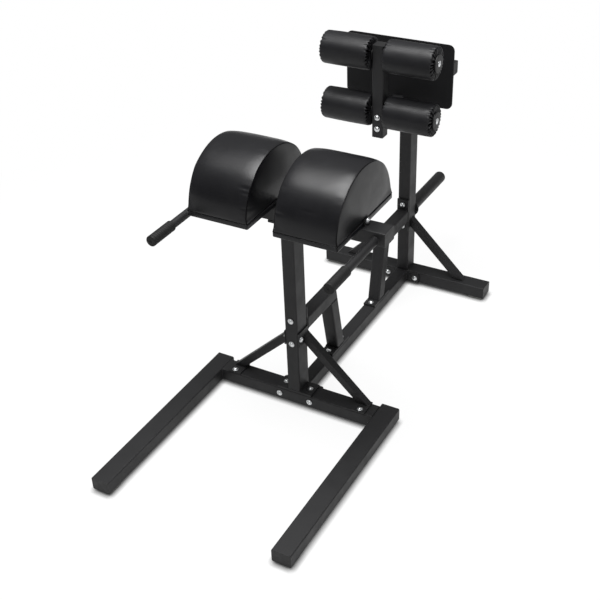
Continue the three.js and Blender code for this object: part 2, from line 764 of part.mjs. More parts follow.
function buildPin() {
  const tipLow = armTop + seatGap;
  const collarLow = receiverTop + seatGap;
  const collarHigh = collarLow + pinCollarHeight;
  const knobLow = receiverTop + barrelHeight + seatGap;
  const knobHigh = knobLow + knobHeight;
  const waist = knobRadius * knobWaistShare;
  const profile = [
    [0, tipLow],
    [pinTipRadius, tipLow],
    [pinTipRadius, collarLow],
    [pinCollarRadius, collarLow],
    [pinCollarRadius, collarHigh],
    [pinStemRadius, collarHigh],
    [pinStemRadius, knobLow],
    [waist, knobLow],
    [waist, knobLow + knobHeight / 2],
    [knobRadius, knobLow + knobHeight * (2 / 3)],
    [knobRadius, knobHigh - knobHeight / 8],
    [waist, knobHigh],
    [0, knobHigh],
  ];
  put("pull_pin", turned("z", profile, headFacets), plastic, pinPosition, 0, 0);
}

// Sliding arm with its row of pin holes, its end plate and its cap
function buildArm() {
  const front = postPosition + postDepth / 2;
  const start = front + plateThickness;
  const length = armTail - start;
  const middle = (start + armTail) / 2;
  const tubeBody = tube("x", length + weldOverlap, armWidth, armHeight, tubeWall);
  const face = plate(plateThickness, armWidth, armHeight);
  const faceX = front + plateThickness / 2 - middle;
  let body = join(moved(tubeBody, -weldOverlap / 2, 0, 0), moved(face, faceX, 0, 0));
  for (let i = 0; i < pinHoleCount; i += 1) {
    const hole = rod("z", pinHoleRadius, 0, armHeight);
    body = cut(body, moved(hole, pinPosition + (i - pinHolesAhead) * pinHolePitch - middle, 0, 0));
  }
  for (const side of [1, -1]) {
    const hole = boltHole("x", front - middle - cutOverrun, start - middle + cutOverrun);
    body = cut(body, moved(hole, 0, 0, side * postBoltSpacing / 2));
  }
  put("roller_arm", body, powderCoat, middle, 0, armAxisHeight);
  const cap = endCap("x", 1, length, armWidth, armHeight);
  put("arm_cap", cap, plastic, armTail + capThickness / 2, 0, armAxisHeight);
}

function buildPost() {
  const high = postTop - capThickness;
  const middle = (postBottom + high) / 2;
  let body = tube("z", postDepth, postWidth, high - postBottom, tubeWall);
  for (const height of [upperAxleHeight, lowerAxleHeight]) {
    const hole = rod("y", axleRadius + axleRunningGap, -postWidth, postWidth);
    body = cut(body, moved(hole, 0, 0, height - middle));
  }
  for (const side of [1, -1]) {
    const hole = boltHole("x", -postDepth, postDepth);
    body = cut(body, moved(hole, 0, 0, armAxisHeight + side * postBoltSpacing / 2 - middle));
  }
  put("roller_post", body, powderCoat, postPosition, 0, middle);
  const cap = endCap("z", 1, postDepth, postWidth, high - postBottom);
  put("post_cap", cap, plastic, postPosition, 0, postTop - capThickness / 2);
  for (const [name, side] of [["upper", 1], ["lower", -1]]) {
    const reach = postDepth + plateThickness + 2 * seatGap;
    const boltZ = armAxisHeight + side * postBoltSpacing / 2;
    const headX = postPosition - postDepth / 2 - seatGap;
    put(`post_bolt_${name}`, throughBolt(reach), zinc, headX, 0, boltZ);
  }
}

// Foot plate with rounded corners, notched over the arm, on a tee of tube
function buildFootPlate() {
  const middle = (plateBottom + plateTop) / 2;
  const sheet = bar("x", plateSheet, plateWidth, plateTop - plateBottom, plateCorner);
  const notchHeight = armTop + plateNotchMargin - plateBottom;
  const notch = plate(3 * plateSheet, armWidth + 2 * plateNotchMargin, notchHeight + cutOverrun);
  const body = cut(sheet, moved(notch, 0, 0, plateBottom - middle + (notchHeight - cutOverrun) / 2));
  put("foot_plate", body, powderCoat, plateFront + plateSheet / 2, 0, middle);

  const bracketX = plateFront + plateSheet + bracketDepth / 2;
  const span = plateWidth - 2 * bracketInset;
  const cross = tube("y", bracketDepth, span, bracketHeight, tubeWall, true, true);
  const stemHigh = bracketAxisHeight - bracketHeight / 2;
  const stem = tube("z", bracketDepth, armWidth, stemHigh - armTop + weldOverlap, tubeWall);
  const stemZ = (stemHigh + armTop + weldOverlap) / 2 - bracketAxisHeight;
  const vent = rod("z", ventRadius, -bracketHeight, 0);
  const vents = [1, -1].map((side) => moved(vent, 0, side * span / 3, 0));
  const bracket = cut(join(cross, moved(stem, 0, 0, stemZ)), ...vents);
  put("foot_plate_bracket", bracket, powderCoat, bracketX, 0, bracketAxisHeight);
}

// Axles with their end bolts, and the four rollers: a flanged bush inside a foam sleeve
function buildAxle(name, height) {
  const shoulder = rollerOuter + seatGap + discThickness + seatGap;
  const half = [];
  for (let i = 0; i <= domeSteps; i += 1) {
    const angle = (i / domeSteps) * (Math.PI / 2);
    const along = shoulder + washerThickness + boltHeadHeight * Math.cos(angle);
    half.push([boltHeadRadius * Math.sin(angle), along]);
  }
  const rim = washerRadius + seatGap;
  half.push([rim, shoulder + washerThickness], [rim, shoulder], [axleRadius, shoulder]);
  const other = half.slice().reverse().map(([radius, along]) => [radius, -along]);
  put(`axle_${name}`, turned("y", [...half, ...other], roundFacets), zinc, postPosition, 0, height);
}

function buildRoller(name, side, height) {
  const bore = axleRadius + axleRunningGap;
  const core = bore + bushWall;
  const discLow = rollerOuter + seatGap;
  const discHigh = discLow + discThickness;
  const flangeHigh = bushInner + bushFlangeInnerThickness;
  const profile = [
    [bore, bushInner],
    [bushFlangeInnerRadius, bushInner],
    [bushFlangeInnerRadius, flangeHigh],
    [core, flangeHigh],
    [core, discLow],
    [discRadius, discLow],
    [discRadius, discHigh - discDish],
    [discRadius - discDish, discHigh],
    [(discRadius + core) / 2, discHigh - discDish / 2],
    [washerRadius + discDish, discHigh],
    [bore, discHigh],
    [bore, bushInner],
  ];
  const facing = (points) => points.map(([radius, along]) => [radius, side * along]);
  put(`roller_bush_${name}`, turned("y", facing(profile), roundFacets), plastic, postPosition, 0, height);

  const sleeve = core + seatGap;
  const foam = [[sleeve, rollerOuter], [sleeve, rollerInner]];
  for (let i = 0; i <= domeSteps; i += 1) {
    const angle = (i / domeSteps) * (Math.PI / 2);
    const radius = rollerRadius - rollerCrown - rollerEndRadius * (1 - Math.sin(angle));
    foam.push([radius, rollerInner + rollerEndRadius * (1 - Math.cos(angle))]);
  }
  foam.push([rollerRadius, (rollerInner + rollerOuter) / 2]);
  for (let i = domeSteps; i >= 0; i -= 1) {
    const angle = (i / domeSteps) * (Math.PI / 2);
    const radius = rollerRadius - rollerCrown - rollerEndRadius * (1 - Math.sin(angle));
    foam.push([radius, rollerOuter - rollerEndRadius * (1 - Math.cos(angle))]);
  }
  foam.push([sleeve, rollerOuter]);
  put(`roller_${name}`, turned("y", facing(foam), rollerFacets), rollerVinyl, postPosition, 0, height);
}

buildLegs();
buildCrossmember();
buildBeam();
buildRearFoot();
buildFrontUpright();
buildRearUpright();
buildStubBolts();
buildStub("front", (x) => x);
buildStub("rear", (x) => rearColumn - x);
for (const [name, side] of [["left", 1], ["right", -1]]) {
  buildBrace("front", name, 0, side, true);
  buildBrace("rear", name, rearColumn, side, false);
}
buildCrossbar();
buildHandles();
buildPads();
buildPeg();
buildReceiver();
buildPin();
buildArm();
buildPost();
buildFootPlate();
for (const [level, height] of [["upper", upperAxleHeight], ["lower", lowerAxleHeight]]) {
  buildAxle(level, height);
  for (const [name, side] of [["left", 1], ["right", -1]]) buildRoller(`${level}_${name}`, side, height);
}

// The origin is on the floor, in the middle of the whole length
machine.position.x = (legReach - pegRear) / 2;

export default machine;
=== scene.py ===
"""Studio model of a glute ham developer.

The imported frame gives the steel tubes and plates. This script dresses them in satin powder coat, builds the
padded and turned pieces over their plain solids, and sets the floor, the light and the camera.
Sizes are in millimetres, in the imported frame's axes, and are turned to metres where a mesh is made.
"""
from __future__ import annotations

import json
import logging
import math
import random
from dataclasses import dataclass
from enum import Enum
from functools import cached_property
from typing import Iterable

import bmesh
import bpy
import numpy as np
from bmesh.types import BMesh, BMVert
from bpy.types import ID, Material, Node, NodeSocket, NodeTree, Object, World
from mathutils import Matrix, Vector, noise


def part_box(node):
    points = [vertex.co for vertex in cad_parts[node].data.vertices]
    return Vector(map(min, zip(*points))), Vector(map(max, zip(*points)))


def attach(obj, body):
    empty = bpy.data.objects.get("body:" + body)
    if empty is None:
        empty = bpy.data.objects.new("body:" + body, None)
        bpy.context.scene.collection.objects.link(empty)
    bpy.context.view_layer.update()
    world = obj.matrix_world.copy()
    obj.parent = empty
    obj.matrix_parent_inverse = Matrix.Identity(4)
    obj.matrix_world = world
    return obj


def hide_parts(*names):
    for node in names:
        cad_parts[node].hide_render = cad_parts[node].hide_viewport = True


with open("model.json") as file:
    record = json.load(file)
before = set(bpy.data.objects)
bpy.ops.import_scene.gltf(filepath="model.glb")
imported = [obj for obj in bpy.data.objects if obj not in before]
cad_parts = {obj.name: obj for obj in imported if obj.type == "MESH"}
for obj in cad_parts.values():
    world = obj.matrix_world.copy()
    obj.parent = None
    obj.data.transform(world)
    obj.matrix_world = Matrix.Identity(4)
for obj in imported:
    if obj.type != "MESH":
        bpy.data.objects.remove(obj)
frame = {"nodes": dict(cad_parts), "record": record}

log = logging.getLogger("glute_ham_developer")

MM = 0.001
MERGE = 0.001  # points closer than this, in millimetres, are one
UPRIGHT_X = -289.0  # the front upright's axis
HANDLE_RADIUS = 14.5
PEG_RADIUS = 25.0
PEG_FLANGE = 6.0
RANGE = ("From Min", "From Max", "To Min", "To Max")  # the ends that a Map Range node takes
ORIGIN = (0, 0, 0)

Point = tuple[float, float, float]
Line = tuple[Point, Point]
Span = float | tuple[float, float]
Profile = list[tuple[float, float]]
Finishes = dict[str, Material]


class Side(Enum):
    """The user's left and right, as the sign of Y."""

    LEFT = 1
    RIGHT = -1

    @property
    def word(self) -> str:
        """The side's word in node names."""
        return self.name.lower()


class Axis(Enum):
    """The way a turned piece or a bolt points, with the turn that takes +Z there."""

    X_UP = ((0, 1, 0), 90)
    X_DOWN = ((0, 1, 0), -90)
    Y_UP = ((1, 0, 0), -90)
    Y_DOWN = ((1, 0, 0), 90)
    Z_UP = ((0, 0, 1), 0)
    Z_DOWN = ((1, 0, 0), 180)

    @property
    def turn(self) -> Matrix:
        """The rotation from +Z to this axis."""
        about, degrees = self.value
        return Matrix.Rotation(math.radians(degrees), 4, Vector(about))

    @classmethod
    def outward(cls, side: Side) -> "Axis":
        """The way from the middle of the machine to one of its sides."""
        return cls.Y_UP if side is Side.LEFT else cls.Y_DOWN


@dataclass(frozen=True)
class Room:
    """The box that a CAD node fills, in millimetres."""

    low: Vector
    high: Vector

    @classmethod
    def of(cls, node: str) -> "Room":
        """Reads the box of one node."""
        low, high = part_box(node)
        return cls(low / MM, high / MM)

    @property
    def size(self) -> Vector:
        """Length, width and height."""
        return self.high - self.low

    @property
    def middle(self) -> Vector:
        """The centre."""
        return (self.high + self.low) / 2

    @property
    def seat(self) -> Vector:
        """The centre of the underside."""
        return Vector((self.middle.x, self.middle.y, self.low.z))


def at(x: float, y: float, z: float) -> Point:
    """Places a point whose x is given from the front upright's axis, in millimetres."""
    return (x + UPRIGHT_X, y, z)


def handle_root(side: Side) -> Point:
    """Where a handle's axis leaves the crossbar."""
    return at(-35, side.value * 321.5, 780)


def peg_root(ahead: float = 0.0) -> Point:
    """Where the storage peg's axis leaves the rear upright, or a point ahead of there."""
    return at(986.5 + ahead, 0, 321.5)


def linear(code: str) -> tuple[float, float, float, float]:
    """Turns a written sRGB colour into Blender's linear values.

    Args:
        code: The colour as #rrggbb.

    Returns:
        Red, green, blue and an alpha of 1, all linear.
    """
    channels = [int(code[i : i + 2], 16) / 255 for i in (1, 3, 5)]
    straight = [c / 12.92 if c <= 0.04045 else ((c + 0.055) / 1.055) ** 2.4 for c in channels]
    return (straight[0], straight[1], straight[2], 1.0)


def add_node(tree: NodeTree, kind: str, inputs: dict | None = None, **settings: object) -> Node:
    """Adds a node with its settings and links.

    Args:
        tree: The material's or world's node tree.
        kind: The node's type name, after ShaderNode.
        inputs: Socket name or number to a value, or to the socket that feeds it.
        settings: The node's own properties.

    Returns:
        The new node.
    """
    node = tree.nodes.new("ShaderNode" + kind)
    for key, value in settings.items():
        setattr(node, key, value)
    for socket, value in (inputs or {}).items():
        if isinstance(value, NodeSocket):
            tree.links.new(value, node.inputs[socket])
        else:
            node.inputs[socket].default_value = value
    return node


def bare_tree(owner: Material | World) -> NodeTree:
    """Turns on the nodes of a material or the world, and clears them."""
    owner.use_nodes = True
    owner.node_tree.nodes.clear()
    return owner.node_tree


@dataclass(frozen=True)
class Finish:
    """What every finish has: two close shades, a range of gloss, and a grain.

    The grain, its height and the patches of shade are in millimetres.
    """

    name: str
    shade: str
    tint: str
    gloss: tuple[float, float]
    grain: float
    height: float
    patch: float
    metallic: float = 0.0
    specular: float = 0.5
    grain_strength: float = 0.6
    gloss_spots: tuple[float, float] = (0.3, 0.7)

    def build(self) -> Material:
        """Builds the material.

        Returns:
            The material, with its grain and colour on Object coordinates.
        """
        material = bpy.data.materials.new(self.name)
        tree = bare_tree(material)
        place = add_node(tree, "TexCoord").outputs["Object"]
        look = {"Base Color": self.colour(tree, place), "Roughness": self.roughness(tree, place)}
        look |= {"Normal": self.relief(tree, place), "Metallic": self.metallic}
        shader = add_node(tree, "BsdfPrincipled", look)
        if not self.metallic:
            shader.inputs["Specular IOR Level"].default_value = self.specular
        self.top_coat(shader)
        add_node(tree, "OutputMaterial", {"Surface": shader.outputs["BSDF"]})
        return material

    def patches(self, tree: NodeTree, place: NodeSocket, size_mm: float) -> NodeSocket:
        """Soft noise whose patches are about size_mm across."""
        soft = {"Vector": place, "Scale": 1 / (size_mm * MM), "Detail": 3.0, "Roughness": 0.55}
        return add_node(tree, "TexNoise", soft).outputs["Fac"]

    def colour(self, tree: NodeTree, place: NodeSocket) -> NodeSocket:
        """Mixes the two shades in soft patches."""
        blend = {0: self.patches(tree, place, self.patch), 6: linear(self.shade), 7: linear(self.tint)}
        return add_node(tree, "Mix", blend, data_type="RGBA").outputs[2]

    def roughness(self, tree: NodeTree, place: NodeSocket) -> NodeSocket:
        """Spreads the gloss over its range in patches a third as large as the colour's."""
        ends = dict(zip(RANGE, (*self.gloss_spots, *self.gloss)))
        spots = self.patches(tree, place, self.patch / 3)
        return add_node(tree, "MapRange", {"Value": spots, **ends}).outputs["Result"]

    def pattern(self, tree: NodeTree, place: NodeSocket) -> NodeSocket:
        """The height pattern of the surface, from 0 to 1."""
        return self.patches(tree, place, self.grain)

    def relief(self, tree: NodeTree, place: NodeSocket) -> NodeSocket:
        """Turns the grain into a bump of its real height."""
        grain, height = self.pattern(tree, place), self.height * MM
        bump = {"Height": grain, "Strength": self.grain_strength, "Distance": height}
        return add_node(tree, "Bump", bump).outputs["Normal"]

    def top_coat(self, shader: Node) -> None:
        """Sets a clear top coat; plain finishes have none."""


@dataclass(frozen=True)
class Leatherette(Finish):
    """Embossed vinyl on cloth: small rounded pebbles with fine valleys, and a soft gloss."""

    grain_strength: float = 0.35
    crease: float = 60.0
    crease_height: float = 0.35

    def pattern(self, tree: NodeTree, place: NodeSocket) -> NodeSocket:
        """Pebbles from rounded cells; drawn coarser than real ones, which are about 1 mm across."""
        cells = {"Vector": place, "Scale": 1 / (self.grain * MM), "Smoothness": 0.6, "Randomness": 0.9}
        return add_node(tree, "TexVoronoi", cells, feature="SMOOTH_F1").outputs["Distance"]

    def relief(self, tree: NodeTree, place: NodeSocket) -> NodeSocket:
        """Lays the pebbles over the slow waves of stretched foam.

        Args:
            tree: The material's node tree.
            place: The Object coordinates.

        Returns:
            The normal's socket.
        """
        swell, height = self.patches(tree, place, self.crease), self.crease_height * MM
        slow = {"Height": swell, "Strength": 0.5, "Distance": height}
        waves = add_node(tree, "Bump", slow).outputs["Normal"]
        pebbles, height = self.pattern(tree, place), self.height * MM
        fine = {"Height": pebbles, "Normal": waves, "Strength": self.grain_strength, "Distance": height}
        return add_node(tree, "Bump", fine, invert=True).outputs["Normal"]

    def top_coat(self, shader: Node) -> None:
        """A thin clear top coat, as on embossed vinyl."""
        shader.inputs["Coat Weight"].default_value = 0.05
        shader.inputs["Coat Roughness"].default_value = 0.3


FINISHES: dict[str, Finish] = {
    # Baked polyester powder: almost black, with a soft broad sheen and a trace of orange peel
    "frame_coat": Finish(
        "satin_powder_coat_on_steel", "#1a1a1b", "#212122",
        gloss=(0.46, 0.58), grain=1.6, height=0.05, patch=180, specular=0.26,
    ),
    # A darker, coarser and duller coat on the foot plate; on the carriage's weld beads it is painted shade
    "foot_plate_and_bead_shade_coat": Finish(
        "textured_powder_coat_on_foot_plate", "#121213", "#19191a",
        gloss=(0.56, 0.68), grain=2.4, height=0.12, patch=110, specular=0.12,
    ),
    # Embossed vinyl on knitted backing: cool black, with broad soft highlights and pulled waves
    "pad_leatherette": Leatherette(
        "embossed_black_leatherette", "#0b0b0d", "#101013",
        gloss=(0.32, 0.4), grain=1.5, height=0.1, patch=140, specular=0.25,
    ),
    # The same vinyl in a softer gauge, gathered at the roller's ends
    "roller_vinyl": Leatherette(
        "soft_black_roller_leatherette", "#0c0c0e", "#121215",
        gloss=(0.44, 0.54), grain=1.4, height=0.1, patch=90, specular=0.26, crease=22,
    ),
    # Sewing thread and painted shade: near-black seam cords and a sheet under the cushion's edge, with no
    # gloss at all
    "seam_thread": Finish(
        "bonded_black_seam_thread", "#040404", "#070707",
        gloss=(0.85, 0.95), grain=0.8, height=0.05, patch=20, specular=0.08,
    ),
    # Moulded soft rubber: dull and slightly grey where it is handled
    "grip_rubber": Finish(
        "moulded_black_grip_rubber", "#0c0c0c", "#131313",
        gloss=(0.6, 0.72), grain=1.2, height=0.08, patch=60, specular=0.3,
    ),
    # Moulded plastic caps, bushes and knob: even black with a fine spark grain
    "black_plastic": Finish(
        "moulded_black_polypropylene", "#0f0f10", "#151516",
        gloss=(0.45, 0.58), grain=0.9, height=0.03, patch=50, specular=0.35,
    ),
    # Zinc-plated steel: bright and slightly cloudy
    "zinc_fastener": Finish(
        "bright_zinc_plate_on_steel", "#d3d5d6", "#e4e6e7",
        gloss=(0.24, 0.38), grain=0.8, height=0.01, patch=8, metallic=1.0,
    ),
    # Grey rubber under the floor tubes, matt and a little dusty
    "foot_rubber": Finish(
        "grey_anti_slip_rubber", "#5c5c5a", "#6b6b68",
        gloss=(0.75, 0.85), grain=2.0, height=0.1, patch=30,
    ),
}


def placed(name: str, data: ID) -> Object:
    """Puts a mesh, a lamp or a camera in the scene under its name."""
    made = bpy.data.objects.new(name, data)
    bpy.context.scene.collection.objects.link(made)
    return made


def finish_mesh(name: str, bm: BMesh, material: Material, smooth_deg: float = 35.0) -> Object:
    """Turns a finished bmesh in millimetres into an object in metres, at the origin.

    Args:
        name: The piece's name.
        bm: The mesh, in millimetres. It is freed.
        material: Its finish.
        smooth_deg: Faces that meet at less than this angle are shaded smooth.

    Returns:
        The new object, linked to the scene.
    """
    bmesh.ops.remove_doubles(bm, verts=bm.verts, dist=MERGE)
    bmesh.ops.recalc_face_normals(bm, faces=bm.faces)
    bmesh.ops.scale(bm, vec=(MM, MM, MM), verts=bm.verts)
    limit = math.radians(smooth_deg)
    for edge in bm.edges:
        edge.smooth = len(edge.link_faces) == 2 and edge.calc_face_angle(0.0) < limit
    for face in bm.faces:
        face.smooth = True
    mesh = bpy.data.meshes.new(name)
    bm.to_mesh(mesh)
    bm.free()
    mesh.materials.append(material)
    return placed(name, mesh)


def poured(bm: BMesh, part: BMesh) -> None:
    """Adds one mesh to another.

    Args:
        bm: The mesh to add to.
        part: The mesh that is added. It is freed.
    """
    mesh = bpy.data.meshes.new("part")
    part.to_mesh(mesh)
    part.free()
    bm.from_mesh(mesh)
    bpy.data.meshes.remove(mesh)


def turned(bm: BMesh, profile: Profile, place: Point, axis: Axis, steps: int = 48) -> list[BMVert]:
    """Turns a profile about an axis and adds it to a mesh.

    Args:
        bm: The mesh to add to.
        profile: Radius and place along the axis, in order.
        place: Where the profile's zero lies.
        axis: The way that the profile's second value grows.
        steps: Facets round the axis.

    Returns:
        The new vertices.
    """
    start = set(bm.verts)
    points = [bm.verts.new((radius, 0, along)) for radius, along in profile]
    edges = [bm.edges.new(pair) for pair in zip(points, points[1:])]
    turn = {"cent": ORIGIN, "axis": (0, 0, 1), "dvec": ORIGIN, "angle": math.tau, "use_merge": True}
    bmesh.ops.spin(bm, geom=points + edges, steps=steps, use_duplicate=False, **turn)
    fresh = [v for v in bm.verts if v not in start]
    bmesh.ops.remove_doubles(bm, verts=fresh, dist=MERGE)
    fresh = [v for v in bm.verts if v not in start]
    bmesh.ops.transform(bm, matrix=Matrix.Translation(Vector(place)) @ axis.turn, verts=fresh)
    return fresh


def rounded(corners: list[Point], steps: int = 4) -> Profile:
    """Rounds the corners of a profile.

    Args:
        corners: Radius and place of each corner, and the fillet there.
        steps: Points on each fillet.

    Returns:
        The profile's points.
    """
    result: Profile = []
    for i, (x, y, fillet) in enumerate(corners):
        if fillet <= 0 or i in (0, len(corners) - 1):
            result.append((x, y))
            continue
        here = Vector((x, y))
        back = (Vector(corners[i - 1][:2]) - here).normalized()
        ahead = (Vector(corners[i + 1][:2]) - here).normalized()
        near, far = here + back * fillet, here + ahead * fillet
        for k in range(steps + 1):
            t = k / steps
            p = near.lerp(here, t).lerp(here.lerp(far, t), t)
            result.append((p.x, p.y))
    return result


def bolt(bm: BMesh, place: Point, axis: Axis) -> None:
    """Adds one dome head with its washer and sunk socket.

    Args:
        bm: The mesh to add to.
        place: The centre of the washer's seat.
        axis: The way that the head points.
    """
    washer, rim, head, rise, steps = 10.9, 1.9, 8.9, 5.9, 7
    socket, depth, chamfer = 3.4, 2.6, 0.4
    profile = rounded([(0, 0, 0), (washer, 0, 0.3), (washer, rim, 0.5), (head, rim, 0)], 2)
    for k in range(1, steps):
        angle = k / steps * math.pi / 2
        profile.append((head * math.cos(angle), rim + rise * math.sin(angle)))
    top = rim + rise
    base = top - depth
    profile += [(socket, top - chamfer), (socket * 0.9, base + chamfer), (0, base)]
    turned(bm, profile, place, axis, steps=24)


def bolt_heads(finishes: Finishes, name: str, body: str, seats: list[tuple[Point, Axis]]) -> None:
    """Builds all the heads of one body as one piece, over the plain heads of the frame.

    Args:
        finishes: The materials.
        name: The piece's name.
        body: The body that they ride on.
        seats: The place and axis of each head.
    """
    bm = bmesh.new()
    for place, axis in seats:
        bolt(bm, place, axis)
    piece = finish_mesh(name, bm, finishes["zinc_fastener"])
    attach(piece, body)


def seam(x: Span, y: Span, z: Span) -> Line:
    """The two ends of a straight bead: one of x, y and z is a pair, and the others are single places."""
    low, high = zip(*(span if isinstance(span, tuple) else (span, span) for span in (x, y, z)))
    return at(*low), at(*high)


@dataclass
class WeldBeads:
    """Coated weld beads: low rippled ridges where tubes and plates meet."""

    finishes: Finishes
    radius: float = 2.4
    pitch: float = 5.0
    rings_per_ripple: int = 3
    ripple_share: float = 0.16
    end_share: float = 0.55
    round_ripples: int = 24

    def bead(self, bm: BMesh, start: Point, end: Point) -> None:
        """Adds one straight bead.

        Args:
            bm: The mesh to add to.
            start: Its first end.
            end: Its last end.
        """
        first, run = Vector(start), Vector(end) - Vector(start)
        length = run.length
        part = bmesh.new()
        ends = {"radius1": self.radius, "radius2": self.radius, "cap_ends": True}
        bmesh.ops.create_cone(part, segments=8, depth=length, **ends)
        sides = [e for e in part.edges if abs(e.verts[0].co.z - e.verts[1].co.z) > length / 2]
        cuts = max(2, round(length / self.pitch * self.rings_per_ripple))
        bmesh.ops.subdivide_edges(part, edges=sides, cuts=cuts)
        for vert in part.verts:
            along = vert.co.z + length / 2
            swell = 1 + self.ripple_share * math.sin(math.tau * along / self.pitch)
            taper = min(1.0, self.end_share + min(along, length - along) / (2 * self.radius))
            vert.co.x *= swell * taper
            vert.co.y *= swell * taper
        turn = run.to_track_quat("Z", "Y").to_matrix().to_4x4()
        middle = Matrix.Translation(first + run / 2)
        bmesh.ops.transform(part, matrix=middle @ turn, verts=part.verts)
        poured(bm, part)

    def ring(self, bm: BMesh, place: Point, axis: Axis, radius: float) -> None:
        """Adds a bead round a round tube.

        Args:
            bm: The mesh to add to.
            place: The centre of the tube where it meets the plate.
            axis: The tube's direction.
            radius: The tube's radius.
        """
        r, inner = self.radius, radius - 1
        outline = [(inner, 0), (radius + r, 0), (radius + 0.7 * r, 0.7 * r), (radius, r), (inner, r)]
        outline.append(outline[0])
        part = bmesh.new()
        turned(part, outline, ORIGIN, Axis.Z_UP, steps=72)
        for vert in part.verts:
            if math.hypot(vert.co.x, vert.co.y) > radius + 0.1:
                ripple = math.sin(self.round_ripples * math.atan2(vert.co.y, vert.co.x))
                swell = 1 + self.ripple_share / 6 * ripple
                vert.co.x *= swell
                vert.co.y *= swell
        bmesh.ops.transform(part, matrix=Matrix.Translation(Vector(place)) @ axis.turn, verts=part.verts)
        poured(bm, part)

    def frame_lines(self) -> list[Line]:
        """Lists the straight beads of the fixed frame, joint by joint."""
        found: list[Line] = []
        # Front upright on its two flanges, and the stub legs' tubes on their foot flanges
        upright = [(-34, 34, 24, z) for z in (66.5, 754.0)]
        legs = [(x, x + 51, 25, 67.5) for x in (261.5, 639.0)]
        for x0, x1, y, z in upright + legs:
            found += [seam((x0, x1), side, z) for side in (-y, y)]
            found += [seam(x, (-y, y), z) for x in (x0, x1)]
        # Rear upright on the rear foot and under the arm's receiver
        found += [seam((920, 983), y, z) for y in (-24.5, 24.5) for z in (58.8, 796.0)]
        # Stub tubes on their upright flanges
        for x in (43.3, 908.0):
            found += [seam(x, y, (302, 347)) for y in (-25.2, 25.2)]
            found += [seam(x, (-23, 23), z) for z in (299.3, 349.7)]
        # Stub legs under the stub tubes
        found += [seam(x, (-22, 22), 298.8) for x in (215.5, 266.0, 685.5, 736.0)]
        # Crossmember between the front legs
        found += [seam(x, y, (12, 55)) for y in (-314.5, 314.5) for x in (-34.5, 34.5)]
        # Beam on its end flanges
        found += [seam(x, y, (14, 52)) for y in (-25.3, 25.3) for x in (43.0, 908.3)]
        # Tabs on the crossbar
        tab = Room.of("pad_crossbar").high.y - 75
        found += [seam((-16, 16), side.value * tab, 812.6) for side in Side]
        return found

    def carriage_lines(self) -> list[Line]:
        """Lists the beads of the foot carriage: round the plate's notch and behind the post."""
        low, high = 861.0, 880.2
        found = [seam(x, (-24, 24), high) for x in (841.8, 847.2)]
        for sign in (-1, 1):
            found.append(seam(844.5, sign * 23.7, (low, high)))
            found.append(seam(710.5, sign * 22.6, (806, 874)))
        return found

    def build(self) -> None:
        """Builds the beads of the fixed frame and of the foot carriage, a piece for each."""
        for name, body, coat, lines in (
            ("frame_weld_beads", "frame", "frame_coat", self.frame_lines()),
            # The carriage's beads take the foot plate's darker, duller coat: painted shade that keeps them
            # dark in the carriage's shaded gaps
            ("carriage_weld_beads", "foot_carriage", "foot_plate_and_bead_shade_coat", self.carriage_lines()),
        ):
            bm = bmesh.new()
            for start, end in lines:
                self.bead(bm, start, end)
            if body == "frame":
                for side in Side:
                    self.ring(bm, handle_root(side), Axis.X_DOWN, HANDLE_RADIUS)
                self.ring(bm, peg_root(PEG_FLANGE), Axis.X_UP, PEG_RADIUS)
            piece = finish_mesh(name, bm, self.finishes[coat], 60)
            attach(piece, body)
            log.info("%s: %d faces", name, len(piece.data.polygons))


# How the leatherette of a cushion gives under the foam's pressure
LEATHERETTE_CLOTH = {
    "uniform_pressure_force": 4.0, "mass": 0.3, "tension_stiffness": 25.0, "compression_stiffness": 25.0,
    "shear_stiffness": 8.0, "bending_stiffness": 6.0,
}


